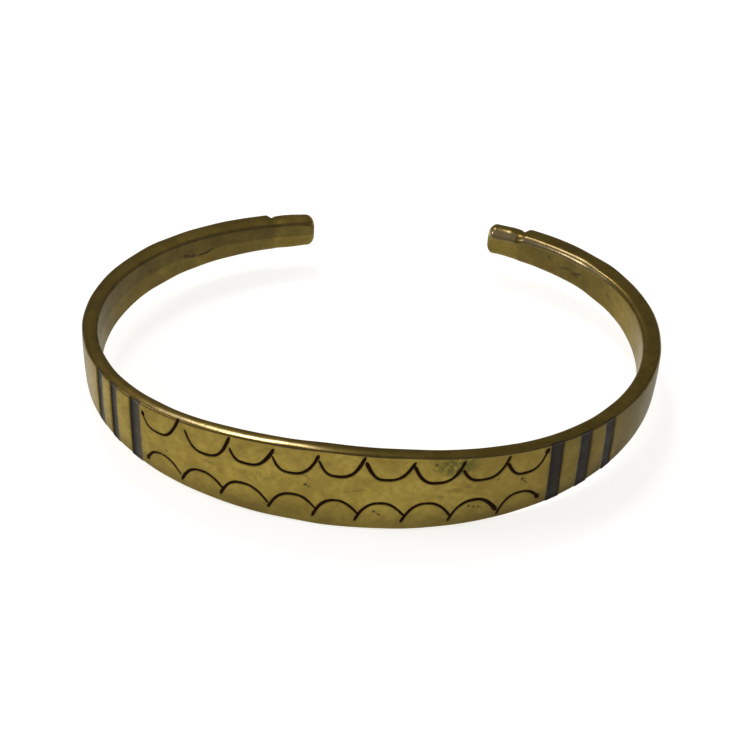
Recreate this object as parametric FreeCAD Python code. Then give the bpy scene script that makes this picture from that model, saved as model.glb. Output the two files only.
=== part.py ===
"""Open bangle: one tapering brass bar bent into an open oval, with engraved and blackened ornament.

Frame, in millimetres: the wrist passes through along Z, the engraved panel faces -Y, the open gap faces +Y
and +X is to the right of someone who looks at the panel. The bar's centreline lies in one level plane, and
the origin is at the middle of the bounding box, on its bottom plane.

A place on the bar is given by its angle (0 at the middle of the panel, positive towards +X), its height
above the centreline plane and its depth through the wall (0 at the inner face). Along the outer face, places
are also given as the distance run from the middle of the panel, again positive towards +X.
"""

import FreeCAD, Part
import math
import os
from bisect import bisect

Vector = FreeCAD.Vector

# Oval of the inner face: a mean radius and waves on it, each (waves per turn, swing, direction of a crest).
MEAN_RADIUS = 27.0
PLAN_WAVES = ((2, 3.2, 102.0), (3, 0.47, 26.0), (4, 0.11, 40.5))
LEFT_END, RIGHT_END = -152.5, 157.0  # angles at which the two arms stop

# The bar's section at the panel, halfway round and at the back, and how broad its shoulders are.
HEIGHT = (9.65, 5.3, 3.4, 0.6)
THICKNESS = (1.45, 2.0, 3.1, 0.3)
EDGE_RADIUS = (0.25, 0.38, 0.6, 0.0)
CROWN = 0.06  # how far the outer face bulges between its edges

# Filed ends: a neck, and a slimmer rounded head beyond it. Distances run along the outer face.
LEFT_NECK, RIGHT_NECK = -74.2, 77.0
NECK_FALL, NECK_RISE = 0.5, 1.7  # steep side towards the bar, gentle side towards the head
NECK_DEPTH = 0.75
HEAD_SLIMMER = 0.4
HEAD_SOFTER = 0.3  # share by which a head's edges are rounder than the bar's
END_ROUNDING = 1.0
END_FLAT = 0.25  # share of the rounding that is left flat at the very end

# Black bars across the outer face: distance of the middle, width and lean of the top towards -X.
BARS = {
    "left_1": (-22.4, 1.6, -0.05),
    "left_2": (-26.1, 1.3, -0.05),
    "left_3": (-29.2, 1.4, -0.05),
    "right_1": (22.8, 1.6, 0.12),
    "right_2": (26.6, 1.6, 0.10),
    "right_3": (30.4, 1.5, 0.30),
}
BAR_DEPTH, BAR_FILL_TOP = 0.28, 0.12  # depth of the groove, and of the filling's surface

# Engraved strokes of the panel: (distance, height) of the left end, of the lowest or highest point and of
# the right end. They were cut by eye, so no two are alike.
UPPER_STROKES = (
    ((-21.1, 2.8), (-19.4, 1.3), (-16.4, 4.2)),
    ((-15.6, 3.2), (-13.4, 1.2), (-10.6, 4.2)),
    ((-10.6, 2.8), (-9.0, 1.5), (-6.0, 4.2)),
    ((-6.1, 3.0), (-4.4, 1.5), (-1.5, 4.3)),
    ((-1.5, 3.4), (0.3, 1.8), (3.0, 4.6)),
    ((3.1, 3.7), (5.1, 1.8), (7.8, 4.2)),
    ((7.8, 3.4), (10.0, 1.4), (12.7, 4.0)),
    ((12.6, 2.7), (14.5, 1.3), (17.4, 3.8)),
    ((17.2, 2.7), (19.2, 1.1), (21.6, 3.3)),
)
LOWER_STROKES = (
    ((-20.8, -2.9), (-18.5, -1.3), (-16.5, -2.5)),
    ((-16.2, -3.4), (-13.6, -1.2), (-11.6, -2.4)),
    ((-11.7, -3.4), (-9.1, -1.1), (-6.8, -2.7)),
    ((-6.6, -3.5), (-3.9, -1.2), (-2.0, -2.4)),
    ((-2.1, -3.7), (0.3, -1.3), (2.2, -2.6)),
    ((2.1, -3.7), (4.8, -1.2), (6.8, -2.6)),
    ((6.7, -3.7), (9.3, -1.2), (11.4, -2.7)),
    ((11.4, -3.7), (14.1, -1.2), (16.2, -2.8)),
    ((16.4, -3.7), (19.0, -1.3), (20.9, -2.5)),
)
UPPER_CURL, LOWER_CURL = (3.0, 3.0), (2.8, 2.0)  # how late each side of a stroke curls, left and right
STROKE_WIDTH, STROKE_DEPTH, STROKE_FILL_TOP = 0.25, 0.25, 0.10

# How finely curves are drawn.
STATION_STEP = 7.5  # degrees between sections of the bar
END_STATIONS = 5  # sections over each rounded end
NECK_STATIONS = (-0.8, 0.0, NECK_FALL, 2 * NECK_FALL, 1.9)  # sections at each neck, from its start
NECK_MARGIN = 3.0  # the even stations stop this far before the necks
SKIN_STATIONS, SKIN_MARGIN = 16, 8.0  # sections of the space over the ornament, and its reach past the bars
RUN_STEP = 0.25  # degrees between the points that distances are measured on
STROKE_POINTS = 4  # points on each side of a stroke's turning point
REACH = 1.0  # how far a cutting tool stands proud of what it cuts
FULLEST_RADIUS = 0.42  # an edge's radius is at most this share of the section's width


def along(sizes, angle):
    """A size that changes from the panel to the side to the back of the bangle."""
    front, side, back, shoulder = sizes
    c = math.cos(math.radians(angle))
    return side + (front - back) / 2 * c + ((front + back) / 2 - side) * c * c + shoulder * (c**3 - c)


def inner_point(angle):
    waves = (swing * math.cos(math.radians(k * (angle - crest))) for k, swing, crest in PLAN_WAVES)
    radius = MEAN_RADIUS + sum(waves)
    turn = math.radians(angle)
    return Vector(radius * math.sin(turn), -radius * math.cos(turn), 0)


def forward(angle):
    """Level direction in which the bar runs, towards growing angles."""
    return (inner_point(angle + 0.01) - inner_point(angle - 0.01)).normalize()


def outward(angle):
    run = forward(angle)
    return Vector(run.y, -run.x, 0)


def outer_point(angle):
    return inner_point(angle) + outward(angle) * along(THICKNESS, angle)


def run_table():
    """Angles, and the distance run along the outer face at each, with 0 at the middle of the panel."""
    angles = [-180 + RUN_STEP * i for i in range(int(360 / RUN_STEP) + 1)]
    points = [outer_point(a) for a in angles]
    runs = [0.0]
    for before, after in zip(points, points[1:]):
        runs.append(runs[-1] + (after - before).Length)
    middle = runs[len(runs) // 2]
    return angles, [run - middle for run in runs]


ANGLES, RUNS = run_table()


def interpolate(value, known, wanted):
    i = min(max(bisect(known, value), 1), len(known) - 1)
    share = (value - known[i - 1]) / (known[i] - known[i - 1])
    return wanted[i - 1] + share * (wanted[i] - wanted[i - 1])


def angle_at(run):
    return interpolate(run, RUNS, ANGLES)


def run_at(angle):
    return interpolate(angle, ANGLES, RUNS)


def head_share(angle):
    """0 on the bar and 1 on a head, with a smooth step at the bottom of the neck."""
    run = run_at(angle)
    past = LEFT_NECK - run if run < 0 else run - RIGHT_NECK
    share = min(max(past / (2 * NECK_FALL), 0.0), 1.0)
    return share * share * (3 - 2 * share)


def stations():
    """(angle, inset) of the sections: even steps, finer at the necks, and round over each end."""
    left, right = run_at(LEFT_END), run_at(RIGHT_END)
    spots = []
    for i in range(END_STATIONS):
        turn = math.radians(90 * i / END_STATIONS)
        back_off, inset = END_ROUNDING * (1 - math.cos(turn)), END_ROUNDING * (1 - math.sin(turn))
        spots.append((left + back_off, (1 - END_FLAT) * inset))
        spots.append((right - back_off, (1 - END_FLAT) * inset))
    for neck, sign in ((LEFT_NECK, -1), (RIGHT_NECK, 1)):
        spots += [(neck + sign * step, 0.0) for step in NECK_STATIONS]
    first, last = angle_at(LEFT_NECK + NECK_MARGIN), angle_at(RIGHT_NECK - NECK_MARGIN)
    count = round((last - first) / STATION_STEP)
    spots += [(run_at(first + (last - first) * i / count), 0.0) for i in range(count + 1)]
    return [(angle_at(run), inset) for run, inset in sorted(spots)]


STATIONS = stations()


def section_point(angle, depth, height):
    return inner_point(angle) + outward(angle) * depth + Vector(0, 0, height)


def bar_section(angle, inset):
    """Closed outline of the bar: flat inside, a faint crown outside, four rounded edges."""
    head = head_share(angle)
    low, high = inset, along(THICKNESS, angle) - HEAD_SLIMMER * head - inset
    half = along(HEIGHT, angle) / 2 - inset
    radius = along(EDGE_RADIUS, angle) * (1 + HEAD_SOFTER * head)
    radius = min(radius, FULLEST_RADIUS * (high - low), FULLEST_RADIUS * 2 * half)
    chord = radius * (1 - math.sqrt(0.5))

    def at(depth, height):
        return section_point(angle, depth, height)

    def corner(depth, height, depth_sign, height_sign, start_on_side):
        on_side = at(depth, height - height_sign * radius)
        on_edge = at(depth - depth_sign * radius, height)
        middle = at(depth - depth_sign * chord, height - height_sign * chord)
        ends = (on_side, on_edge) if start_on_side else (on_edge, on_side)
        return Part.Arc(ends[0], middle, ends[1]).toShape()

    face_low, face_high = at(high, -half + radius), at(high, half - radius)
    return Part.Wire(
        [
            Part.Arc(face_low, at(high + CROWN, 0), face_high).toShape(),
            corner(high, half, 1, 1, True),
            Part.LineSegment(at(high - radius, half), at(low + radius, half)).toShape(),
            corner(low, half, -1, 1, False),
            Part.LineSegment(at(low, half - radius), at(low, -half + radius)).toShape(),
            corner(low, -half, -1, -1, True),
            Part.LineSegment(at(low + radius, -half), at(high - radius, -half)).toShape(),
            corner(high, -half, 1, -1, False),
        ]
    )


def bar_blank():
    return Part.makeLoft([bar_section(angle, inset) for angle, inset in STATIONS], True, False)


def skin(depth):
    """The space outside a surface that lies the given depth below the panel's and bars' outer face."""
    wires = []
    reach = max(abs(middle) for middle, width, lean in BARS.values()) + SKIN_MARGIN
    for i in range(SKIN_STATIONS + 1):
        angle = angle_at(-reach + 2 * reach * i / SKIN_STATIONS)
        low = along(THICKNESS, angle) - depth
        high = low + depth + 3 * REACH
        half = along(HEIGHT, 0) / 2 + REACH
        corners = [
            section_point(angle, *c) for c in ((low, -half), (high, -half), (high, half), (low, half))
        ]
        wires.append(Part.makePolygon(corners + corners[:1]))
    return Part.makeLoft(wires, True, False)


def cutter(run, outline):
    """A prism through the wall at a distance: its outline is given as (along, up) from that place."""
    angle = angle_at(run)
    ahead, out = forward(angle), outward(angle)
    start = outer_point(angle) - out * REACH
    face = Part.Face(Part.Wire(outline(lambda x, z: start + ahead * x + Vector(0, 0, z))))
    return face.extrude(out * 2.5 * REACH)


def bar_cutter(middle, width, lean):
    half = along(HEIGHT, 0) / 2 + REACH

    def outline(at):
        foot, top = lean, -lean
        corners = [
            at(foot - width / 2, -half),
            at(foot + width / 2, -half),
            at(top + width / 2, half),
            at(top - width / 2, half),
        ]
        return Part.makePolygon(corners + corners[:1]).Edges

    return cutter(middle, outline)


def stroke_line(ends, curl):
    """Points of one engraved stroke, flat at its turning point and curling up or down at both ends."""
    (left, left_height), (turn, turn_height), (right, right_height) = ends
    points = []
    for i in range(-STROKE_POINTS, STROKE_POINTS + 1):
        share = abs(i) / STROKE_POINTS
        end, height, power = (left, left_height, curl[0]) if i < 0 else (right, right_height, curl[1])
        points.append((turn + (end - turn) * share, turn_height + (height - turn_height) * share**power))
    return points


def offset_line(points, offset):
    moved = []
    for i, (x, z) in enumerate(points):
        (x0, z0), (x1, z1) = points[max(i - 1, 0)], points[min(i + 1, len(points) - 1)]
        size = math.hypot(x1 - x0, z1 - z0)
        moved.append((x - (z1 - z0) / size * offset, z + (x1 - x0) / size * offset))
    return moved


def stroke_cutter(ends, curl):
    turn = ends[1][0]
    line = [(x - turn, z) for x, z in stroke_line(ends, curl)]

    def outline(at):
        sides = []
        for offset in (-STROKE_WIDTH / 2, STROKE_WIDTH / 2):
            curve = Part.BSplineCurve()
            curve.interpolate([at(x, z) for x, z in offset_line(line, offset)])
            sides.append(curve)
        near, far = sides
        caps = [
            Part.LineSegment(near.EndPoint, far.EndPoint).toShape(),
            Part.LineSegment(far.StartPoint, near.StartPoint).toShape(),
        ]
        return Part.__sortEdges__([near.toShape(), far.toShape(), *caps])

    return cutter(turn, outline)


def neck_cutter(run, sign):
    """The file cut of a neck: a wedge across the outer face, steep towards the bar."""
    angle = angle_at(run)
    ahead, out = forward(angle) * sign, outward(angle)
    reach = Vector(0, 0, along(HEIGHT, angle) / 2 + REACH)
    surface = outer_point(angle)
    shape = [(-NECK_FALL, REACH), (NECK_FALL, -NECK_DEPTH), (NECK_FALL + NECK_RISE, REACH / 2)]
    corners = [surface + ahead * x + out * y - reach for x, y in shape]
    return Part.Face(Part.makePolygon(corners + corners[:1])).extrude(reach * 2)


def filling(cut, blank, above):
    """What lies in a groove: its lower part, ending at the bar's own edges."""
    return cut.common(blank).cut(above)


def build():
    blank = bar_blank()
    blank = blank.cut([neck_cutter(LEFT_NECK, -1), neck_cutter(RIGHT_NECK, 1)])

    cuts, fillings = [], {}
    bar_space, above_bars = skin(BAR_DEPTH), skin(BAR_FILL_TOP)
    for name, (middle, width, lean) in BARS.items():
        cut = bar_cutter(middle, width, lean).common(bar_space)
        cuts.append(cut)
        fillings[f"bar_fill_{name}"] = filling(cut, blank, above_bars)

    stroke_space, above_strokes = skin(STROKE_DEPTH), skin(STROKE_FILL_TOP)
    for row, strokes, curl in (("upper", UPPER_STROKES, UPPER_CURL), ("lower", LOWER_STROKES, LOWER_CURL)):
        for number, ends in enumerate(strokes, 1):
            cut = stroke_cutter(ends, curl).common(stroke_space)
            cuts.append(cut)
            fillings[f"arch_fill_{row}_{number}"] = filling(cut, blank, above_strokes)

    return {"cuff_band": blank.cut(cuts), **fillings}


def centred(parts):
    """All parts moved so that the origin is at the middle of the bottom of the bounding box."""
    box = parts["cuff_band"].optimalBoundingBox()
    shift = Vector(-box.Center.x, -box.Center.y, -box.ZMin)
    return {name: shape.translated(shift) for name, shape in parts.items()}


def main():
    os.makedirs("parts", exist_ok=True)
    for name, shape in centred(build()).items():
        shape.exportStep(f"parts/{name}.step")
        print(f"{name:22s} solids {len(shape.Solids)} valid {shape.isValid()} volume {shape.Volume:9.3f}")


main()
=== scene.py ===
"""Looks of an open brass bangle with engraved and blackened ornament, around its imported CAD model.

A place on the band is given as in the CAD: the distance run along the outer face from the middle of the
panel, the height above the centreline plane and the depth through the wall, all in millimetres. Meshes are
worked out in those numbers and turned into metres, in the frame of the CAD, when they are made.
"""

import bpy
import math
import numpy as np
from mathutils import Matrix, Vector


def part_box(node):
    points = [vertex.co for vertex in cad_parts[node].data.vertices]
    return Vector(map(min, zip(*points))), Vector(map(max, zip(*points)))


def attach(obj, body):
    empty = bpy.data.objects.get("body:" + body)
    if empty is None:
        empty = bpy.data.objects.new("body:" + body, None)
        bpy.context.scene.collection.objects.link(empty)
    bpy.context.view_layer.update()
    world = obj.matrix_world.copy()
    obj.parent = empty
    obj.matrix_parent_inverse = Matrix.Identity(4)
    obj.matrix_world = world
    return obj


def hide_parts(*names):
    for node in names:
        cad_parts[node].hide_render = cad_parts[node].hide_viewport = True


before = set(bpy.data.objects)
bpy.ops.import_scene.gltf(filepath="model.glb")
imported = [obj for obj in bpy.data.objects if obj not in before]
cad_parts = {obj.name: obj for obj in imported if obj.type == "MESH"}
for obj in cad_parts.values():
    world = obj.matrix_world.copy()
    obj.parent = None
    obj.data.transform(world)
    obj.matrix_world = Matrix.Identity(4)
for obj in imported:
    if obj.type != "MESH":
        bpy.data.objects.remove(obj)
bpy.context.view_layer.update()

MM = 0.001

# ---------------------------------------------------------------- the band's sizes, the same as in the CAD

MEAN_RADIUS = 27.0
PLAN_WAVES = ((2, 3.2, 102.0), (3, 0.47, 26.0), (4, 0.11, 40.5))  # waves per turn, swing, crest
LEFT_END, RIGHT_END = -152.5, 157.0  # degrees

HEIGHT = (9.65, 5.3, 3.4, 0.6)  # at the panel, at the side, at the back, shoulder
THICKNESS = (1.45, 2.0, 3.1, 0.3)
EDGE_RADIUS = (0.25, 0.38, 0.6, 0.0)
CROWN = 0.06

LEFT_NECK, RIGHT_NECK = -74.2, 77.0
NECK_FALL, NECK_RISE = 0.5, 1.7
NECK_DEPTH = 0.75
HEAD_SLIMMER, HEAD_SOFTER = 0.4, 0.3
END_ROUNDING, END_FLAT = 1.0, 0.1

# Middle, width and lean of each bar across the outer face.
BARS = {
    "left_1": (-22.4, 1.6, -0.05),
    "left_2": (-26.1, 1.3, -0.05),
    "left_3": (-29.2, 1.4, -0.05),
    "right_1": (22.8, 1.6, 0.12),
    "right_2": (26.6, 1.6, 0.10),
    "right_3": (30.4, 1.5, 0.30),
}
BAR_DEPTH = 0.28

# Left end, turning point and right end of each engraved stroke.
UPPER_STROKES = (
    ((-21.1, 2.8), (-19.4, 1.3), (-16.4, 4.2)),
    ((-15.6, 3.2), (-13.4, 1.2), (-10.6, 4.2)),
    ((-10.6, 2.8), (-9.0, 1.5), (-6.0, 4.2)),
    ((-6.1, 3.0), (-4.4, 1.5), (-1.5, 4.3)),
    ((-1.5, 3.4), (0.3, 1.8), (3.0, 4.6)),
    ((3.1, 3.7), (5.1, 1.8), (7.8, 4.2)),
    ((7.8, 3.4), (10.0, 1.4), (12.7, 4.0)),
    ((12.6, 2.7), (14.5, 1.3), (17.4, 3.8)),
    ((17.2, 2.7), (19.2, 1.1), (21.6, 3.3)),
)
LOWER_STROKES = (
    ((-20.8, -2.9), (-18.5, -1.3), (-16.5, -2.5)),
    ((-16.2, -3.4), (-13.6, -1.2), (-11.6, -2.4)),
    ((-11.7, -3.4), (-9.1, -1.1), (-6.8, -2.7)),
    ((-6.6, -3.5), (-3.9, -1.2), (-2.0, -2.4)),
    ((-2.1, -3.7), (0.3, -1.3), (2.2, -2.6)),
    ((2.1, -3.7), (4.8, -1.2), (6.8, -2.6)),
    ((6.7, -3.7), (9.3, -1.2), (11.4, -2.7)),
    ((11.4, -3.7), (14.1, -1.2), (16.2, -2.8)),
    ((16.4, -3.7), (19.0, -1.3), (20.9, -2.5)),
)
UPPER_CURL, LOWER_CURL = (3.0, 3.0), (2.8, 2.0)
STROKE_DEPTH = 0.25

# ---------------------------------------------------------------- what the CAD leaves to the looks

# Width of a stroke at its left end, turning point and right end, and of those that differ from their row.
WIDTHS = {"upper": (0.15, 0.20, 0.29), "lower": (0.26, 0.21, 0.15)}
OWN_WIDTHS = {
    ("upper", 1): (0.12, 0.17, 0.27),
    ("upper", 6): (0.33, 0.21, 0.24),
    ("upper", 7): (0.29, 0.22, 0.26),
    ("upper", 8): (0.22, 0.20, 0.22),
    ("upper", 9): (0.25, 0.18, 0.18),
    ("lower", 1): (0.22, 0.16, 0.13),
    ("lower", 8): (0.18, 0.22, 0.35),
    ("lower", 9): (0.17, 0.19, 0.16),
}
# How far strokes run on past the ends of the CAD's, at their left and right.
RUN_ON = {"upper": (0.05, 0.0), "lower": (0.0, 0.22)}
# Strokes that end in a small punched dot: (row, number, end): radius.
DOTS = {
    ("upper", 1, 0): 0.20,
    ("lower", 1, 0): 0.20,
    ("upper", 9, 1): 0.22,
    ("lower", 9, 1): 0.22,
}
STROKE_SINK, BAR_SINK = 0.06, 0.12  # how far the fillings' surfaces lie below the outer face
STROKE_SHOULDER = 0.08  # rounding of the brass at a stroke's edge
BAR_WALL = 0.05  # width that a bar groove's wall takes up along the band
RIM_NICK = 0.10  # depth of the bar grooves where they reach the rims
RIM_CROWN = 0.045  # how far the rims bulge between their edges
INNER_EDGE_SOFTNESS = (-50, -30, 30, 50), (0.75, 1.0, 1.0, 1.45)  # distances, and share of the edge radius
LUMPS = ((0.012, 12, 23), (0.004, 5, 24), (0.0012, 1.8, 25))  # unevenness: swing, length and seed
LUMPINESS = (30, 40, 72, 78), (1, 0.5, 0.5, 2.2)  # distances from the panel's middle, and share of it there
RAGGEDNESS = 0.02  # how far the bars' edges stray
NECK_DIPS = (0.03, 0.14)  # how far the upper rim dips in the left and right neck

# Darkening, from 0 to 1: tarnish of the left and right arm, painted shade on the rims and the inner face,
# painted shade on the panel's lower part, tarnish on its upper part, and painted shade on its right part.
ARM_TARNISH, RIM_PAINTED_SHADE, INNER_PAINTED_SHADE = (0.75, 0.95), 0.4, 0.8
LOWER_PAINTED_SHADE, UPPER_TARNISH, RIGHT_PAINTED_SHADE = 0.62, 0.12, 0.26
PANEL_END = (30, 37)  # distances between which the panel's polish gives way to the arms' tarnish
HEAD_POLISH = 0.2  # how much less tarnished the heads are
PAST_THE_HEADS = (900, 901)  # distances that no place of the band reaches
# Painted shade that is more or less than that: face, amount, and the distances of its rise and of its fall.
# It darkens the right arm's outer face, dims the reflected glow on two stretches of rim, and lightens the
# right arm's inner face.
PAINTED_SHADE_BANDS = (
    ("outer", 0.45, (19, 27), PAST_THE_HEADS),
    ("top", 0.3, (-6, 0), (2, 12)),
    ("top", 0.3, (-62, -50), (-34, -22)),
    ("inner", -0.45, (34, 46), (56, 66)),
)
INNER_EDGE_HIGHLIGHT = 0.65  # brightness of the painted highlight along the right arm's inner edge
# Blackness, from 0 to 1, beside and in what holds dirt, and the outer and inner edge's painted shade; the
# inner face's is for the left and right arm.
STROKE_DIRT, SCRATCH_DIRT, PIT_DIRT, BAR_DIRT, NECK_DIRT = 0.22, 0.6, 0.95, 0.3, 0.6
OUTER_EDGE_SHADE, INNER_EDGE_SHADE, INNER_DIRT = 0.75, 0.55, (0.8, 0.5)

# Dents of the outer face: run, height, radius, depth.
PITS = (
    (-2.8, 0.3, 0.16, 0.06),
    (-2.5, 0.1, 0.10, 0.04),
    (4.0, -2.3, 0.15, 0.06),
    (4.5, -2.7, 0.12, 0.05),
    (13.4, -1.9, 0.14, 0.06),
    (13.9, -2.1, 0.12, 0.06),
    (14.4, -2.2, 0.10, 0.05),
    (18.9, 0.4, 0.17, 0.07),
    (9.8, 3.7, 0.12, 0.05),
    (-18.0, -0.4, 0.10, 0.03),
    (16.2, 1.0, 0.09, 0.03),
)
# Scratches of the outer face: start, end, width, depth.
SCRATCHES = (
    ((-3.1, 1.7), (-2.3, 1.0), 0.08, 0.02),
    ((4.1, -2.4), (4.7, -2.9), 0.10, 0.03),
    ((18.9, 0.3), (19.5, -0.3), 0.12, 0.03),
    ((9.3, 3.2), (9.9, 2.9), 0.08, 0.02),
    ((-14.5, 0.6), (-11.8, 0.2), 0.06, 0.012),
    ((0.5, -0.2), (3.4, 0.5), 0.06, 0.012),
)
# Scratches and dents of the inner face, the same way.
INNER_SCRATCHES = (
    ((-66.2, 0.1), (-64.0, -0.35), 0.26, 0.06),
    ((-64.4, -0.3), (-61.6, 0.05), 0.24, 0.05),
    ((-62.2, 0.0), (-61.2, 0.5), 0.30, 0.07),
    ((-55.8, 0.6), (-55.2, 0.8), 0.20, 0.04),
    ((67.0, 0.3), (68.6, -0.3), 0.34, 0.05),
    ((67.6, -0.5), (69.0, 0.1), 0.28, 0.05),
    ((68.9, 0.2), (70.6, -0.2), 0.26, 0.05),
    ((72.2, 0.4), (72.9, 0.6), 0.20, 0.04),
    ((60.5, -0.3), (61.4, 0.2), 0.14, 0.02),
)
# Tarnished patches of the outer face: run, height, reach along, reach up, strength.
PATCHES = (
    (11.9, 3.5, 2.1, 1.5, 1.0),
    (11.9, 0.3, 1.0, 0.35, 0.4),
    (13.2, 0.7, 0.5, 0.3, 0.4),
    (10.5, -0.5, 0.5, 0.3, 0.4),
    (20.9, -2.4, 0.5, 0.4, 1.0),
    (-8.0, 0.2, 2.2, 0.6, 0.25),
)


# ---------------------------------------------------------------- shape of the band

def along(sizes, angle):
    """A size that changes from the panel to the side to the back of the bangle."""
    front, side, back, shoulder = sizes
    c = np.cos(np.radians(angle))
    return side + (front - back) / 2 * c + ((front + back) / 2 - side) * c**2 + shoulder * (c**3 - c)


def inner_point(angle):
    waves = (swing * np.cos(np.radians(k * (angle - crest))) for k, swing, crest in PLAN_WAVES)
    radius = MEAN_RADIUS + sum(waves)
    turn = np.radians(angle)
    return np.stack([radius * np.sin(turn), -radius * np.cos(turn)], -1)


def outward(angle):
    step = inner_point(angle + 0.01) - inner_point(angle - 0.01)
    step /= np.linalg.norm(step, axis=-1, keepdims=True)
    return np.stack([step[..., 1], -step[..., 0]], -1)


def outer_point(angle):
    return inner_point(angle) + outward(angle) * along(THICKNESS, angle)[..., None]


ANGLES = np.linspace(-180, 180, 1441)
RUNS = np.concatenate([[0], np.cumsum(np.linalg.norm(np.diff(outer_point(ANGLES), axis=0), axis=1))])
RUNS -= RUNS[len(RUNS) // 2]


def angle_at(run):
    return np.interp(run, RUNS, ANGLES)


def run_at(angle):
    return np.interp(angle, ANGLES, RUNS)


def smooth(value, start, end):
    """0 before start and 1 after end, with a smooth step between them."""
    share = np.clip((value - start) / (end - start), 0, 1)
    return share * share * (3 - 2 * share)


def between(value, rise, fall):
    """1 from the rise to the fall, each given by its start and end, and 0 outside them."""
    return smooth(value, *rise) * (1 - smooth(value, *fall))


def ripple(places, length, seed, waves=14):
    """Random smooth waves of about the given length over the places, mostly between -1 and 1."""
    draw = np.random.default_rng(seed)
    total = np.zeros(places.shape[:-1])
    for _ in range(waves):
        direction = draw.normal(size=3)
        direction *= 2 * math.pi / length * draw.uniform(0.6, 1.6) / np.linalg.norm(direction)
        total += np.cos(places @ direction + draw.uniform(0, 2 * math.pi))
    return total / math.sqrt(waves)


FIRST_RUN, LAST_RUN = run_at(LEFT_END), run_at(RIGHT_END)


def past_neck(run):
    """Distance from the start of the nearer neck, positive towards the end."""
    return np.where(run < 0, LEFT_NECK - run, run - RIGHT_NECK)


def filed(past):
    """How deep the neck's file cut goes at a distance past the neck's start, and 0 beside it."""
    foot = np.interp(past, (-NECK_FALL, NECK_FALL, NECK_FALL + NECK_RISE), (-1.0, NECK_DEPTH, -0.5))
    softened = 0.5 * (foot + np.sqrt(foot**2 + 0.01))
    return softened * (past > -NECK_FALL) * (past < NECK_FALL + NECK_RISE)


def section_sizes(run):
    """Depth of the inner and outer face, half height and edge radius of the section at a distance."""
    angle, past = angle_at(run), past_neck(run)
    head = smooth(past, 0, 2 * NECK_FALL)
    back = np.clip(1 - np.minimum(run - FIRST_RUN, LAST_RUN - run) / END_ROUNDING, 0, 1)
    inset = (1 - END_FLAT) * END_ROUNDING * (1 - np.sqrt(1 - back**2))
    high = along(THICKNESS, angle) - np.maximum(HEAD_SLIMMER * head, filed(past)) - inset
    half = along(HEIGHT, angle) / 2 - RIM_CROWN - inset
    radius = along(EDGE_RADIUS, angle) * (1 + HEAD_SOFTER * head)
    return inset, high, half, np.minimum(radius, np.minimum(0.42 * (high - inset), 0.84 * half))


def frame_shift():
    """Where the formulas' origin lies in the frame of the CAD."""
    low, high = (np.array(corner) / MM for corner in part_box("cuff_band"))
    run = np.linspace(FIRST_RUN, LAST_RUN, 4000)
    outline = inner_point(angle_at(run)) + outward(angle_at(run)) * section_sizes(run)[1][:, None]
    middle = (outline.min(0) + outline.max(0)) / 2
    return (low + high) / 2 - np.append(middle, 0)


SHIFT = frame_shift()


def band_place(run, height, depth):
    """Places on the band as points of the frame, in metres."""
    angle = angle_at(run)
    plan = inner_point(angle) + outward(angle) * depth[..., None]
    return (np.concatenate([plan, height[..., None]], -1) + SHIFT) * MM


LEAN_HEIGHT = HEIGHT[0] / 2 + 1  # a bar's lean is measured at this height

# ---------------------------------------------------------------- strokes and dents of the outer face

def stroke_path(ends, curl, run_on, step=0.05):
    """Points of a stroke's middle line, close together, and the share of its length at each."""
    (left, left_height), (turn, turn_height), (right, right_height) = ends
    runs = np.arange(left - run_on[0], right + run_on[1], step)
    before = runs < turn
    share = np.where(before, (turn - runs) / (turn - left), (runs - turn) / (right - turn))
    end_height = np.where(before, left_height, right_height)
    power = np.where(before, curl[0], curl[1])
    points = np.stack([runs, turn_height + (end_height - turn_height) * share**power], -1)
    lengths = np.concatenate([[0], np.cumsum(np.linalg.norm(np.diff(points, axis=0), axis=1))])
    even = np.linspace(0, lengths[-1], int(lengths[-1] / step))
    points = np.stack([np.interp(even, lengths, points[:, i]) for i in (0, 1)], -1)
    return points, even / lengths[-1], even


def stroke_line(row, number, ends, curl):
    """A stroke's middle line with the wobble of the hand that cut it, and its half widths."""
    widths = OWN_WIDTHS.get((row, number), WIDTHS[row])
    points, share, length = stroke_path(ends, curl, RUN_ON[row])
    places = np.concatenate([points, np.full((len(points), 1), 7.0 * number)], -1)
    points = points + 0.025 * np.stack([ripple(places, 3.5, 11), ripple(places, 3.5, 12)], -1)
    half = np.interp(share, (0, 0.45, 1), widths) / 2
    half = half * (1 + 0.13 * ripple(places, 2.2, 13))
    tip = np.minimum(length, length[-1] - length)
    half = half * np.sqrt(np.clip(tip / 0.3, 0.01, 1))
    for end, from_end in ((0, length), (1, length[-1] - length)):
        radius = DOTS.get((row, number, end), 0)
        half = np.maximum(half, np.sqrt(np.clip(radius**2 - (from_end - radius) ** 2, 0, None)))
    return points, half


STROKES = {}
for row, rows, curl in (("upper", UPPER_STROKES, UPPER_CURL), ("lower", LOWER_STROKES, LOWER_CURL)):
    for number, ends in enumerate(rows, 1):
        STROKES[f"arch_fill_{row}_{number}"] = stroke_line(row, number, ends, curl)


def beside_line(run, height, points, half, reach):
    """Distance of places from the edge of a line that has a half width; far places all get the reach."""
    result = np.full(run.shape, float(reach))
    margin = reach + half.max()
    low, high = points.min(0) - margin, points.max(0) + margin
    near = (run > low[0]) & (run < high[0]) & (height > low[1]) & (height < high[1])
    spots = np.stack([run[near], height[near]], -1)
    best = np.full(len(spots), float(reach))
    for point, size in zip(points, half):
        best = np.minimum(best, np.linalg.norm(spots - point, axis=-1) - size)
    result[near] = best
    return result


def straight(start, end, width, count=30):
    """A scratch as a line with a half width, thin at both ends."""
    share = np.linspace(0, 1, count)[:, None]
    points = np.array(start) + (np.array(end) - np.array(start)) * share
    return points, width / 2 * np.sin(math.pi * np.clip(share[:, 0], 0.02, 0.98))


# ---------------------------------------------------------------- the band as one grid of places

FACE_POINTS, INNER_POINTS, RIM_POINTS, CORNER_POINTS = 112, 22, 9, 8
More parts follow.
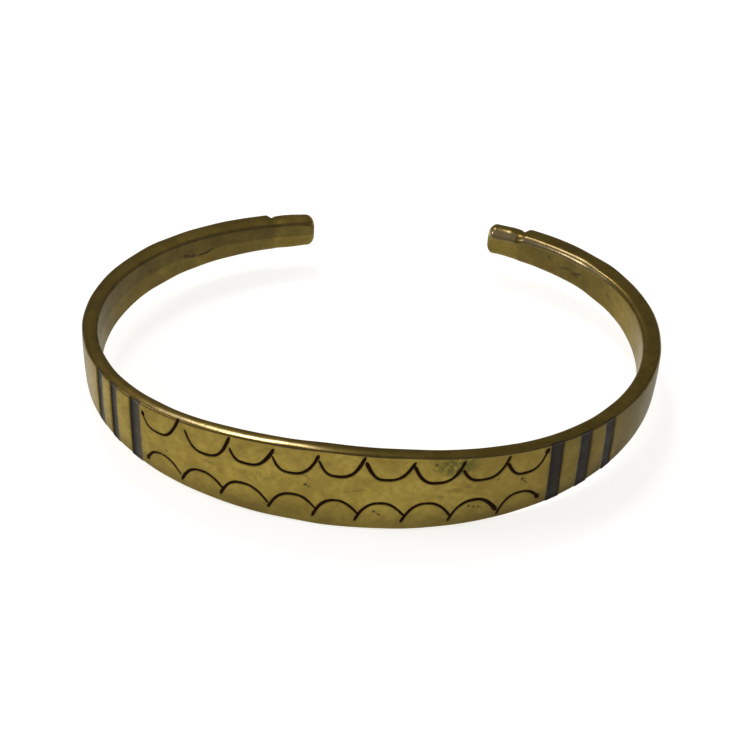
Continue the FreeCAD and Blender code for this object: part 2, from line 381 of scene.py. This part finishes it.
# Distance from the middle of the panel, and spacing of the sections there.
SPACING = (
    (0, 0.09),
    (23.6, 0.09),
    (24.4, 0.13),
    (31.6, 0.13),
    (36, 0.35),
    (70, 0.35),
    (73, 0.12),
    (79, 0.1),
    (83, 0.05),
)


def stations():
    """Distances at which sections of the band are drawn: close together where there is ornament."""
    fine = np.arange(FIRST_RUN, LAST_RUN, 0.005)
    spacing = np.interp(np.abs(fine), *zip(*SPACING))
    passed = np.cumsum(0.005 / spacing)
    runs = np.interp(np.arange(1, passed[-1]), passed, fine)
    for middle, width, lean in BARS.values():
        for edge in (middle - width / 2, middle + width / 2):
            first = np.searchsorted(runs, edge) - 1
            runs[first : first + 2] = edge - BAR_WALL / 2, edge + BAR_WALL / 2
    return np.concatenate([[FIRST_RUN], runs, [LAST_RUN]])


def outline(low, high, half, radius, soft):
    """The band's sections and their normals, as depths and heights, from the outer face's foot all round."""
    ones = np.ones_like(low)
    parts = []

    def face(start, end, normal, count):
        share = (np.arange(count) + 0.5) / count
        depth = start[0][:, None] * (1 - share) + end[0][:, None] * share
        height = start[1][:, None] * (1 - share) + end[1][:, None] * share
        parts.append((depth, height, normal[0] * np.ones_like(depth), normal[1] * np.ones_like(depth)))

    def corner(depth, height, size, first_turn):
        turn = np.radians(first_turn + 90 * np.arange(CORNER_POINTS) / (CORNER_POINTS - 1))
        n_depth, n_height = ones[:, None] * np.cos(turn), ones[:, None] * np.sin(turn)
        round_depth, round_height = (middle[:, None] + size[:, None] * n
                                     for middle, n in ((depth, n_depth), (height, n_height)))
        parts.append((round_depth, round_height, n_depth, n_height))

    near, far = low + radius, high - radius
    face((high, radius - half), (high, half - radius), (1, 0), FACE_POINTS)
    corner(far, half - radius, radius, 0)
    face((far, half), (low + soft, half), (0, 1), RIM_POINTS)
    corner(low + soft, half - soft, soft, 90)
    face((low, half - soft), (low, radius - half), (-1, 0), INNER_POINTS)
    corner(near, radius - half, radius, 180)
    face((near, -half), (far, -half), (0, -1), RIM_POINTS)
    corner(far, radius - half, radius, 270)
    return [np.concatenate(rows, 1) for rows in zip(*parts)]


def band_shape(runs, past):
    """The band's places before any ornament is cut, their normals, and what later steps need besides."""
    low, high, half, radius = section_sizes(runs)
    line = np.stack([runs, 0 * runs, 0 * runs], -1)
    radius = radius * (1 + 0.15 * ripple(line, 5, 22))
    soft = np.minimum(radius * np.interp(runs, *INNER_EDGE_SOFTNESS), 0.5 * (high - low))
    depth, height, n_depth, n_height = outline(low, high, half, radius, soft)
    run = np.repeat(runs[:, None], depth.shape[1], 1)

    # crowned faces, and the unevenness of hand work, which is less on the arms
    bulge = 1 - np.clip(np.abs(height) / (half - radius)[:, None], 0, 1) ** 2
    depth = depth + CROWN * bulge * np.clip(n_depth, 0, 1)
    across = (depth - ((low + high) / 2)[:, None]) / ((high - low) / 2 - radius)[:, None]
    height = height + RIM_CROWN * (1 - np.clip(np.abs(across), 0, 1) ** 2) * n_height
    place = np.stack([run, height, depth], -1)
    lump = sum(swing * ripple(place, length, seed) for swing, length, seed in LUMPS)
    lump = lump * np.interp(np.abs(runs), *LUMPINESS)[:, None]
    dip = np.where(runs < 0, *NECK_DIPS) * between(past, (-0.4, 0.5), (0.6, 2.2))
    depth = depth + n_depth * lump
    height = height + n_height * lump - np.clip(n_height, 0, 1) * dip[:, None]

    # sections lean with the bars and their edges are a little ragged
    middles = sorted(BARS.values())
    lean = np.interp(runs, [-34] + [b[0] for b in middles] + [34], [0] + [b[2] for b in middles] + [0])
    ragged = RAGGEDNESS * between(np.abs(runs), (20.5, 21.5), (32, 34))
    run = run - lean[:, None] * height / LEAN_HEIGHT + ragged[:, None] * ripple(place, 1.6, 26)
    return run, height, depth, n_depth, n_height, half, across, place


def bar_cuts(runs, run, height, depth, half):
    """Depths with the bar grooves cut, which nick the edges of the rims, and the places that were cut."""
    in_bar = np.zeros(len(runs), bool)
    for middle, width, _ in BARS.values():
        in_bar |= np.abs(runs - middle) < width / 2
    floor = along(THICKNESS, angle_at(run)) - bar_groove(height, half[:, None])
    cut = (depth > floor) & in_bar[:, None]
    return np.where(cut, floor + 0.03 * (depth - floor), depth), cut


def outer_marks(run, height):
    """Depth and blackness of the strokes, scratches and dents of the outer face."""
    dips, soot_and_shade = np.zeros_like(run), np.zeros_like(run)
    for points, widths in STROKES.values():
        beside = beside_line(run, height, points, widths, 0.5)
        dips = np.maximum(dips, STROKE_DEPTH * (1 - smooth(beside, -0.06, STROKE_SHOULDER)))
        grime = STROKE_DIRT * np.exp(-np.clip(beside, 0, 1) / 0.10)
        soot_and_shade = np.maximum(soot_and_shade, (1 - smooth(beside, -0.03, 0.05)) + grime * (beside < 0.5))
    for start, end, width, deep in SCRATCHES:
        beside = beside_line(run, height, *straight(start, end, width), 0.3)
        dips = np.maximum(dips, deep * (1 - smooth(beside, -0.02, 0.05)))
        soot_and_shade = np.maximum(soot_and_shade, SCRATCH_DIRT * (1 - smooth(beside, -0.03, 0.05)))
    for at_run, at_height, size, deep in PITS:
        away = ((run - at_run) ** 2 + (height - at_height) ** 2) / size**2
        dips = np.maximum(dips, deep * np.exp(-away))
        soot_and_shade = np.maximum(soot_and_shade, PIT_DIRT * np.exp(-away))
    return dips, soot_and_shade


def inner_marks(run, height, place):
    """Depth and blackness of the scratches of the inner face."""
    dips, soot_and_shade = np.zeros_like(run), np.zeros_like(run)
    for start, end, width, deep in INNER_SCRATCHES:
        beside = beside_line(run, height, *straight(start, end, width), 0.5)
        beside = beside + 0.05 * ripple(place, 0.7, 27)
        dips = np.maximum(dips, deep * (1 - smooth(beside, -0.05, 0.1)))
        dirt = INNER_DIRT[0] if start[0] < 0 else INNER_DIRT[1]
        soot_and_shade = np.maximum(soot_and_shade, dirt * (1 - smooth(beside, -0.12, 0.16)))
    return dips, soot_and_shade


def dirt_and_edge_shade(runs, past, run, height, n_depth, n_height):
    """Blackness beside the bars and in the necks, and painted shade as dark lines along the upper edges."""
    soot_and_shade = np.zeros_like(run)
    for middle, width, _ in BARS.values():
        beside = np.clip(np.abs(run - middle) - width / 2, 0, None)
        soot_and_shade = np.maximum(soot_and_shade, BAR_DIRT * np.exp(-beside / 0.15) * (n_depth > 0.1))
    soot_and_shade = np.maximum(soot_and_shade, NECK_DIRT * smooth(filed(past), 0.45, 0.75)[:, None] * (n_depth > 0.2))
    # painted shade: a dark line along the panel's outer upper edge, standing for a dark reflection
    outer_edge = np.exp(-(((n_height - 0.5) / 0.2) ** 2)) * (n_depth > 0.05)
    soot_and_shade = np.maximum(soot_and_shade, OUTER_EDGE_SHADE * outer_edge * (1 - smooth(np.abs(runs), 20, 40))[:, None])
    # painted shade: a dark line along the left arm's inner upper edge, standing for a dark reflection
    inner_edge = np.exp(-(((n_height - 0.2) / 0.22) ** 2)) * (n_depth < -0.05) * (height > 0)
    return np.maximum(soot_and_shade, INNER_EDGE_SHADE * inner_edge * (1 - smooth(runs, -40, -30))[:, None])


def stains(run, height):
    """Strength of the green tarnish."""
    stain = np.zeros_like(run)
    for at_run, at_height, reach, reach_up, strength in PATCHES:
        away = ((run - at_run) / reach) ** 2 + ((height - at_height) / reach_up) ** 2
        stain = np.maximum(stain, strength * (1 - smooth(away, 0.3, 1.4)))
    return stain


def dulled_and_shaded(runs, past, run, height, n_depth, n_height):
    """Tarnish of the brass and painted shade: the panel is polished by wear and the arms duller, and painted
    shade darkens the rims, the inner face and the panel's lower and right part.
    """
    faces = {
        "outer": np.clip(n_depth, 0, 1),
        "inner": np.clip(-n_depth, 0, 1),
        "top": np.clip(n_height, 0, 1),
    }
    arms = np.where(runs < 0, *ARM_TARNISH) * smooth(np.abs(runs), *PANEL_END)
    # the arms' tarnish, then painted shade on the rims and on the inner face
    tarnish_and_shade = arms[:, None] * faces["outer"] + RIM_PAINTED_SHADE * np.abs(n_height)
    tarnish_and_shade = tarnish_and_shade + INNER_PAINTED_SHADE * faces["inner"]
    # the panel's lower and right part get painted shade, its upper part tarnish
    panel = LOWER_PAINTED_SHADE * smooth(-height, 1.2, 4.4) + UPPER_TARNISH * smooth(height, 1.5, 3.5)
    panel = panel + RIGHT_PAINTED_SHADE * smooth(run, 2, 18)
    tarnish_and_shade = tarnish_and_shade + panel * faces["outer"] * (1 - smooth(np.abs(run), *PANEL_END))
    # painted shade, more or less, on stretches of the faces
    for face, amount, rise, fall in PAINTED_SHADE_BANDS:
        tarnish_and_shade = tarnish_and_shade + amount * faces[face] * between(run, rise, fall)
    return np.clip(tarnish_and_shade - HEAD_POLISH * smooth(past, 0, 1)[:, None], 0, 1)


def painted_highlights(runs, past, across, n_depth, n_height):
    """Painted highlights on the rims: a stripe on the panel's rim on the left, and along the right arm's
    inner edge and head.
    """
    top = np.clip(n_height, 0, 1)
    # a painted highlight along the outer half of the panel's rim, where the window light is reflected
    stripe = np.exp(-(((across - 0.65) / 0.3) ** 2)) * top
    painted_highlight = stripe * between(runs, (-24, -15), (-6, 1))[:, None]
    inner_edge = (2 * top * np.clip(-n_depth, 0, 1)) ** 2
    on_right_arm = smooth(runs, 58, 67) * (filed(past) < 0.3)
    return np.maximum(painted_highlight, INNER_EDGE_HIGHLIGHT * inner_edge * on_right_arm[:, None])


def band_grid():
    """Run, height and depth of every place of the band, and what its material wants to know of each."""
    runs = stations()
    past = past_neck(runs)
    run, height, depth, n_depth, n_height, half, across, place = band_shape(runs, past)
    depth, cut = bar_cuts(runs, run, height, depth, half)

    on_face, on_inside = (n_depth > 0.5) & ~cut, n_depth < -0.5
    outer_dips, outer_soot = outer_marks(run, height)
    inner_dips, inner_soot = inner_marks(run, height, place)
    depth = depth - outer_dips * on_face + inner_dips * on_inside

    soot_and_shade = np.where(cut, 1.0, outer_soot) * (n_depth > 0.3)
    soot_and_shade = np.maximum(soot_and_shade, inner_soot * on_inside)
    soot_and_shade = np.maximum(soot_and_shade, dirt_and_edge_shade(runs, past, run, height, n_depth, n_height))
    marks = {
        # soot also carries painted shade: dark lines along the upper edges
        "soot_and_shade": np.clip(soot_and_shade, 0, 1),
        "stain": stains(run, height) * on_face,
        "edge": 2 * np.abs(n_depth * n_height),
        # a painted highlight on the rims
        "painted_highlight": painted_highlights(runs, past, across, n_depth, n_height),
        # tarnish also carries painted shade on the rims, the inner face and the panel
        "tarnish_and_shade": dulled_and_shaded(runs, past, run, height, n_depth, n_height),
    }
    return run, height, depth, marks


# ---------------------------------------------------------------- meshes

def bar_groove(height, half):
    """Depth of a bar groove at a height: less where it reaches the rims."""
    return BAR_DEPTH - (BAR_DEPTH - RIM_NICK) * smooth(np.abs(height), half - 0.5, half - 0.02)


def grid_faces(rows, columns, closed=True):
    """Quads of a grid of points, row after row; closed joins each row's last point to its first."""
    row = np.arange(rows - 1)[:, None] * columns
    column = np.arange(columns if closed else columns - 1)[None, :]
    following = (column + 1) % columns
    quads = [row + column, row + columns + column, row + columns + following, row + following]
    return np.stack(np.broadcast_arrays(*quads), -1).reshape(-1, 4)


def make_strip(name, run, height, depth):
    """A solid piece from closed outlines that follow one another, closed at both ends."""
    rows, columns = run.shape
    caps = [range(columns), range(rows * columns - 1, (rows - 1) * columns - 1, -1)]
    piece = make_piece(name, band_place(run, height, depth), grid_faces(rows, columns), caps)
    set_attribute(piece, "place", np.stack([run, height, depth], -1), "FLOAT_VECTOR")
    return piece


def make_piece(name, points, faces, caps=()):
    """A smooth mesh object from points in metres."""
    mesh = bpy.data.meshes.new(name)
    mesh.from_pydata(points.reshape(-1, 3).tolist(), [], faces.tolist() + [list(cap) for cap in caps])
    mesh.validate()
    mesh.shade_smooth()
    piece = bpy.data.objects.new(name, mesh)
    bpy.context.scene.collection.objects.link(piece)
    return piece


def set_attribute(piece, name, values, kind="FLOAT"):
    attribute = piece.data.attributes.new(name, kind, "POINT")
    field = "vector" if kind == "FLOAT_VECTOR" else "value"
    attribute.data.foreach_set(field, values.astype(np.float32).ravel())


def with_ends(values, shrinks=(0.85, 0.6, 0.3, 0.05)):
    """The rows of a grid with rows added that shrink towards the middle of the first and last one."""
    ends = (values[0], values[-1])
    first, last = ([row.mean() + (row - row.mean()) * shrink for shrink in shrinks] for row in ends)
    return np.concatenate([first[::-1], values, last])


def make_band():
    run, height, depth, marks = band_grid()
    band = make_strip("band", *(with_ends(values) for values in (run, height, depth)))
    for name, values in marks.items():
        set_attribute(band, name, with_ends(values))
    return band


def make_stroke_filling(name, points, half):
    """A thin ribbon of filling with a hollow top, along a stroke."""
    ahead = np.gradient(points, axis=0)
    ahead /= np.linalg.norm(ahead, axis=1, keepdims=True)
    across = np.stack([-ahead[:, 1], ahead[:, 0]], -1)
    shares = np.array([-1.0, -0.6, 0.0, 0.6, 1.0, 0.6, -0.6])
    sinks = np.array([0.9, 1.15, 1.3, 1.15, 0.9, 3.4, 3.4]) * STROKE_SINK
    beside = shares[None, :] * (half[:, None] + 0.02)
    spots = points[:, None, :] + across[:, None, :] * beside[..., None]
    run, height = spots[..., 0], spots[..., 1]
    face = along(THICKNESS, angle_at(run)) + CROWN * (1 - (height / HEIGHT[0] * 2) ** 2)
    place = np.stack([run, height, 0 * run], -1)
    depth = face - sinks[None, :] * (1 + 0.2 * ripple(place, 0.8, 31))
    return make_strip(name, run, height, depth)


def make_bar_filling(name, middle, width, lean):
    """A slab of filling with a slightly hollow and wavy top, from rim to rim."""
    shares = np.array([-1, -0.97, -0.85, -0.6, -0.3, 0, 0.3, 0.6, 0.85, 0.97, 1, 0.98, -0.98])
    sinks = np.array([0.85, 0.95, 1.08, 1.15, 1.18, 1.2, 1.18, 1.15, 1.08, 0.95, 0.85])
    rows = np.sort(np.concatenate([np.linspace(-0.975, 0.975, 70), [-1, -0.993, 0.993, 1]]))[:, None]
    run = middle + shares[None, :] * (width / 2 - 0.01) - lean * rows
    half = along(HEIGHT, angle_at(run)) / 2 - RIM_CROWN - 0.04
    height = rows * half
    face = along(THICKNESS, angle_at(run)) + CROWN * (1 - (height / half) ** 2)
    groove = bar_groove(height, half)
    place = np.stack([run, height, 0 * run], -1)
    lump = (0.012 * ripple(place, 2.4, 32) + 0.006 * ripple(place, 0.7, 33)) * groove / BAR_DEPTH
    depth = face - groove - 0.02
    surface = slice(0, len(sinks))
    sink = sinks[None, :] * BAR_SINK * groove[:, surface] / BAR_DEPTH
    depth[:, surface] = face[:, surface] - sink + lump[:, surface]
    piece = make_strip(name, run, height, depth)
    # a painted sheen: lighter grey across each bar towards its right side, stronger on the left bars
    wear_and_sheen = np.interp(shares, (-0.6, 0.3), (0.0, 1.0 if middle < 0 else 0.25)) + 0 * run
    set_attribute(piece, "wear_and_sheen", wear_and_sheen)
    return piece


# ---------------------------------------------------------------- materials

SOCKETS = {
    "base_color": "Base Color",
    "roughness": "Roughness",
    "metallic": "Metallic",
    "specular_ior_level": "Specular IOR Level",
    "specular_tint": "Specular Tint",
    "normal": "Normal",
    "emission_color": "Emission Color",
    "emission_strength": "Emission Strength",
}


class Shade:
    """A material under construction: each method adds a node and gives its output."""

    def __init__(self, name):
        self.material = bpy.data.materials.new(name)
        self.material.use_nodes = True
        self.tree = self.material.node_tree
        self.shader = self.tree.nodes["Principled BSDF"]
        place = self.add("ShaderNodeAttribute")
        place.attribute_name = "place"
        self.place = place.outputs["Vector"]

    def add(self, kind):
        return self.tree.nodes.new(kind)

    def put(self, socket, value):
        if isinstance(value, bpy.types.NodeSocket):
            self.tree.links.new(value, socket)
        else:
            socket.default_value = value

    def mark(self, name):
        node = self.add("ShaderNodeAttribute")
        node.attribute_name = name
        return node.outputs["Fac"]

    def stretched(self, scale, turn=0.0):
        """Places with each direction scaled, to draw a pattern out along the others."""
        node = self.add("ShaderNodeMapping")
        node.vector_type = "POINT"
        self.put(node.inputs["Vector"], self.place)
        node.inputs["Scale"].default_value = scale
        node.inputs["Rotation"].default_value = (0, 0, math.radians(turn))
        return node.outputs["Vector"]

    def noise(self, scale, detail=3.0, rough=0.5, vector=None, distortion=0.0):
        node = self.add("ShaderNodeTexNoise")
        self.put(node.inputs["Vector"], vector or self.place)
        node.inputs["Scale"].default_value = scale
        node.inputs["Detail"].default_value = detail
        node.inputs["Roughness"].default_value = rough
        node.inputs["Distortion"].default_value = distortion
        return node.outputs["Fac"]

    def fit(self, value, start, end, low=0.0, high=1.0):
        """The value's stretch from start to end, fitted smoothly to low and high."""
        node = self.add("ShaderNodeMapRange")
        node.interpolation_type = "SMOOTHSTEP"
        self.put(node.inputs["Value"], value)
        for name, number in (("From Min", start), ("From Max", end), ("To Min", low), ("To Max", high)):
            node.inputs[name].default_value = number
        return node.outputs["Result"]

    def math(self, operation, first, second):
        node = self.add("ShaderNodeMath")
        node.operation = operation
        self.put(node.inputs[0], first)
        self.put(node.inputs[1], second)
        return node.outputs[0]

    def mix(self, share, first, second):
        """One colour or number into another."""
        colour = not isinstance(first, float) and not (
            isinstance(first, bpy.types.NodeSocket) and first.type == "VALUE"
        )
        node = self.add("ShaderNodeMix")
        node.data_type = "RGBA" if colour else "FLOAT"
        inputs = [s for s in node.inputs if s.enabled]
        for socket, value in zip(inputs, (share, first, second)):
            self.put(socket, (*value, 1.0) if isinstance(value, tuple) else value)
        return next(s for s in node.outputs if s.enabled)

    def bump(self, height, distance, normal=None):
        node = self.add("ShaderNodeBump")
        self.put(node.inputs["Height"], height)
        node.inputs["Distance"].default_value = distance
        if normal:
            self.put(node.inputs["Normal"], normal)
        return node.outputs["Normal"]

    def finish(self, **sockets):
        for name, value in sockets.items():
            if isinstance(value, tuple):
                value = (*value, 1.0)
            self.put(self.shader.inputs[SOCKETS[name]], value)
        return self.material


# Colours of the brass, clean and aged.
OLIVE, GOLDEN, AMBER = (0.238, 0.174, 0.036), (0.312, 0.236, 0.050), (0.190, 0.125, 0.026)
# The dull colours serve for tarnish and for painted shade.
BROWN, DULL_SHADED_OLIVE, DULL_SHADED_RUDDY = (0.140, 0.088, 0.026), (0.060, 0.046, 0.016), (0.085, 0.046, 0.015)
# The black serves for soot and for painted shade along the upper edges.
GREENISH, SOOT_AND_SHADE_BLACK = (0.098, 0.086, 0.022), (0.012, 0.006, 0.005)
# The second colour is a painted highlight, cream where the rims reflect the light.
RUBBED, PAINTED_HIGHLIGHT_COLOUR = (0.36, 0.27, 0.10), (0.57, 0.46, 0.27)
GRAZING_TINT = (0.80, 0.76, 0.66)  # what a slanting look at the brass is tinted with

# Colours of the fillings; the lightest is a painted sheen across the bars.
BAR_GREENISH, BAR_RUDDY, BAR_SPECK = (0.008, 0.009, 0.004), (0.012, 0.008, 0.008), (0.040, 0.032, 0.018)
BAR_SHEEN_GREY, BAR_GLOSS_TINT = (0.070, 0.058, 0.042), (1.0, 0.88, 0.66)
STROKE_BLACK, STROKE_MAROON = (0.012, 0.003, 0.001), (0.022, 0.007, 0.002)


# Roughness of the brass: clean, and where scratches, tarnish with painted shade, stain, a rubbed edge, a
# painted highlight and soot with painted dark lines cover it.
CLEAN_ROUGH, SCRATCHED_ROUGH, DULL_ROUGH = (0.26, 0.36), 0.22, 0.38
STAINED_ROUGH, RUBBED_ROUGH, BRIGHT_ROUGH, SOOT_ROUGH = 0.40, 0.24, 0.19, 0.65


def brass_colour(shade):
    """Colour of the brass, and its grain, tarnish and painted shade, stain, rubbed edges, painted highlight
    and soot.
    """
    patches = shade.fit(shade.noise(0.28, 5, 0.6, distortion=0.6), 0.38, 0.62)
    grain = shade.fit(shade.noise(1.6, 4, 0.55), 0.35, 0.68)
    colour = shade.mix(patches, OLIVE, GOLDEN)
    colour = shade.mix(shade.math("MULTIPLY", grain, 0.4), colour, AMBER)
    brown = shade.fit(shade.noise(0.6, 4, 0.6, distortion=1.0), 0.54, 0.72)
    colour = shade.mix(shade.math("MULTIPLY", brown, 0.35), colour, BROWN)
    uneven = shade.fit(shade.noise(0.35, 4, 0.6), 0.3, 0.7, 1.0, 0.8)
    # the tarnish mark also carries painted shade, so the dull colours paint shade there too
    dull_and_shaded = shade.math("MULTIPLY", shade.mark("tarnish_and_shade"), uneven)
    colour = shade.mix(dull_and_shaded, colour, shade.mix(brown, DULL_SHADED_OLIVE, DULL_SHADED_RUDDY))
    mottled = shade.fit(shade.noise(1.6, 4, 0.7), 0.34, 0.54)
    stain = shade.math("MULTIPLY", shade.mark("stain"), mottled)
    colour = shade.mix(shade.math("MULTIPLY", stain, 0.95), colour, GREENISH)
    wear_and_sheen = shade.fit(shade.noise(0.5, 3, 0.6), 0.3, 0.6, 0.3, 0.8)
    edge = shade.math("MULTIPLY", shade.mark("edge"), wear_and_sheen)
    colour = shade.mix(shade.math("MULTIPLY", edge, 0.4), colour, RUBBED)
    patchy = shade.fit(shade.noise(0.45, 3, 0.6), 0.3, 0.6, 0.6, 1.0)
    # a painted highlight: brighter brass where the rims reflect the light
    painted_highlight = shade.math("MULTIPLY", shade.mark("painted_highlight"), patchy)
    colour = shade.mix(painted_highlight, colour, PAINTED_HIGHLIGHT_COLOUR)
    # soot also carries painted shade: dark lines along the upper edges
    soot_and_shade = shade.mark("soot_and_shade")
    colour = shade.mix(soot_and_shade, colour, SOOT_AND_SHADE_BLACK)
    return colour, grain, dull_and_shaded, stain, edge, painted_highlight, soot_and_shade


def brass_scratches(shade):
    """Scratches along the band, finer ones along it, and sparse ones across it."""
    long_scratches = shade.fit(shade.noise(1.0, 5, 0.75, shade.stretched((0.35, 14, 14), 3)), 0.4, 0.7)
    fine_scratches = shade.fit(shade.noise(1.0, 4, 0.7, shade.stretched((1.0, 30, 30), -8)), 0.45, 0.7)
    cross_scratches = shade.fit(shade.noise(1.0, 3, 0.7, shade.stretched((22, 1.2, 22), 24)), 0.58, 0.74)
    return long_scratches, fine_scratches, cross_scratches


def brass_material():
    """Aged brass: olive and golden patches, browned spots, worn edges, fine scratches along the band,
    painted shade and highlights.
    """
    shade = Shade("aged_brass")
    colour, grain, dull_and_shaded, stain, edge, painted_highlight, soot_and_shade = brass_colour(shade)
    long_scratches, fine_scratches, cross_scratches = brass_scratches(shade)
    rough = shade.mix(grain, *CLEAN_ROUGH)
    rough = shade.mix(long_scratches, rough, SCRATCHED_ROUGH)
    rough = shade.mix(dull_and_shaded, rough, DULL_ROUGH)
    rough = shade.mix(stain, rough, STAINED_ROUGH)
    rough = shade.mix(edge, rough, RUBBED_ROUGH)
    rough = shade.mix(painted_highlight, rough, BRIGHT_ROUGH)
    rough = shade.mix(soot_and_shade, rough, SOOT_ROUGH)

    scratches = shade.math("ADD", long_scratches, shade.math("ADD", fine_scratches, cross_scratches))
    normal = shade.bump(scratches, 0.0000001)
    normal = shade.bump(shade.noise(0.8, 2, 0.4), 0.00002, normal)
    normal = shade.bump(shade.noise(3, 2, 0.5), 0.0000006, normal)
    metal = shade.mix(soot_and_shade, 1.0, 0.2)
    gloss = dict(specular_ior_level=0.2, specular_tint=GRAZING_TINT)
    return shade.finish(base_color=colour, roughness=rough, metallic=metal, normal=normal, **gloss)


def bar_material():
    """Black satin filling, greenish and brownish in turn, and a painted sheen, greyer towards one side of
    each bar.
    """
    shade = Shade("bar_blacking")
    patches = shade.fit(shade.noise(0.5, 4, 0.6), 0.4, 0.6)
    specks = shade.fit(shade.noise(4, 4, 0.7), 0.6, 0.75)
    colour = shade.mix(patches, BAR_GREENISH, BAR_RUDDY)
    colour = shade.mix(shade.math("MULTIPLY", specks, 0.3), colour, BAR_SPECK)
    colour = shade.mix(shade.mark("wear_and_sheen"), colour, BAR_SHEEN_GREY)
    rough = shade.mix(patches, 0.40, 0.52)
    normal = shade.bump(shade.noise(1.4, 4, 0.6), 0.00004)
    normal = shade.bump(shade.noise(8, 4, 0.6), 0.000006, normal)
    gloss = dict(specular_ior_level=0.08, specular_tint=BAR_GLOSS_TINT)
    return shade.finish(base_color=colour, roughness=rough, metallic=0.0, normal=normal, **gloss)


def stroke_material():
    """Very dark red-brown filling of the strokes, matt and a little uneven."""
    shade = Shade("stroke_blacking")
    patches = shade.fit(shade.noise(1.8, 4, 0.6), 0.35, 0.65)
    colour = shade.mix(patches, STROKE_BLACK, STROKE_MAROON)
    normal = shade.bump(shade.noise(6, 4, 0.6), 0.00002)
    rough = shade.mix(patches, 0.6, 0.8)
    gloss = dict(specular_ior_level=0.03)
    return shade.finish(base_color=colour, roughness=rough, metallic=0.0, normal=normal, **gloss)


# ---------------------------------------------------------------- floor, light and camera

FLOOR_GLOW = 0.74  # the floor is lit from within, like a light table, which keeps shadows pale


def floor_material():
    """Pale matt floor, a little uneven in tone."""
    shade = Shade("pale_floor")
    coordinates = shade.add("ShaderNodeTexCoord").outputs["Object"]
    colour = shade.mix(shade.noise(3, 3, 0.5, coordinates), (0.80, 0.80, 0.80), (0.84, 0.84, 0.84))
    glow = dict(emission_color=(1.0, 1.0, 1.0), emission_strength=FLOOR_GLOW)
    return shade.finish(base_color=colour, roughness=0.9, specular_ior_level=0.1, **glow)


FLOOR_SIZE, FLOOR_GAP = 3.0, 0.00002  # metres: its sides, and how far it lies below the bangle


def make_floor():
    corners = np.array([(-1, -1), (1, -1), (1, 1), (-1, 1)]) * FLOOR_SIZE / 2
    points = np.concatenate([corners, np.full((4, 1), -FLOOR_GAP)], 1)
    floor = make_piece("floor", points, np.array([[0, 1, 2, 3]]))
    floor.data.materials.append(floor_material())


def make_light(name, azimuth, elevation, distance, size, power, colour):
    """A soft box that faces the bangle's middle; azimuth 0 is in front of the panel, positive to +X."""
    turn, rise = math.radians(azimuth), math.radians(elevation)
    away = Vector((math.cos(rise) * math.sin(turn), -math.cos(rise) * math.cos(turn), math.sin(rise)))
    light = bpy.data.lights.new(name, "AREA")
    light.shape = "RECTANGLE"
    light.size, light.size_y = size
    light.energy, light.color = power, colour
    lamp = bpy.data.objects.new(name, light)
    lamp.location = Vector(SHIFT * MM) + away * distance
    lamp.rotation_euler = away.to_track_quat("Z", "Y").to_euler()
    bpy.context.scene.collection.objects.link(lamp)


def make_world(colour, strength):
    world = bpy.data.worlds.new("studio")
    world.use_nodes = True
    background = world.node_tree.nodes["Background"]
    background.inputs["Color"].default_value = (*colour, 1)
    background.inputs["Strength"].default_value = strength
    bpy.context.scene.world = world


WORLD_COLOUR, WORLD_STRENGTH = (1.0, 0.95, 0.90), 0.29
# Name, azimuth, elevation, distance and size in metres, power and colour of each light.
LIGHTS = (
    ("window", -150, 57, 0.6, (0.08, 0.18), 0.55, (1.0, 0.93, 0.88)),
    ("side", -80, 36, 0.6, (0.22, 0.16), 0.5, (1.0, 0.96, 0.90)),
)

CAMERA_AZIMUTH, CAMERA_ELEVATION, CAMERA_ROLL = 7.417, 35.465, -3.028
CAMERA_DISTANCE, CAMERA_LENS = 154.85, 66.2
CAMERA_SHIFT = (0.0002, -0.0450)


def make_camera():
    turn, rise, roll = (math.radians(a) for a in (CAMERA_AZIMUTH, CAMERA_ELEVATION, CAMERA_ROLL))
    away = Vector((math.cos(rise) * math.sin(turn), -math.cos(rise) * math.cos(turn), math.sin(rise)))
    level = Vector((math.cos(turn), math.sin(turn), 0))
    up = away.cross(level)
    right = level * math.cos(roll) - up * math.sin(roll)
    up = away.cross(right)
    camera = bpy.data.cameras.new("camera")
    camera.lens, camera.sensor_width, camera.clip_start = CAMERA_LENS, 36, 0.01
    camera.shift_x, camera.shift_y = CAMERA_SHIFT
    eye = bpy.data.objects.new("camera", camera)
    turned = Matrix((right, up, away)).transposed().to_4x4()
    eye.matrix_world = Matrix.Translation(Vector(SHIFT * MM) + away * CAMERA_DISTANCE * MM) @ turned
    bpy.context.scene.collection.objects.link(eye)
    bpy.context.scene.camera = eye


# ---------------------------------------------------------------- the whole picture

def place_piece(piece, node, material):
    piece.data.materials.append(material)
    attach(piece, "root")
    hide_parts(node)


place_piece(make_band(), "cuff_band", brass_material())
bar_finish, stroke_finish = bar_material(), stroke_material()
for name, sizes in BARS.items():
    piece = make_bar_filling(f"bar_{name}", *sizes)
    place_piece(piece, f"bar_fill_{name}", bar_finish)
for node, line in STROKES.items():
    piece = make_stroke_filling(node.replace("arch_fill", "arch"), *line)
    place_piece(piece, node, stroke_finish)

make_floor()
make_world(WORLD_COLOUR, WORLD_STRENGTH)
for light in LIGHTS:
    make_light(*light)
make_camera()
bpy.context.scene.view_settings.view_transform = "Standard"
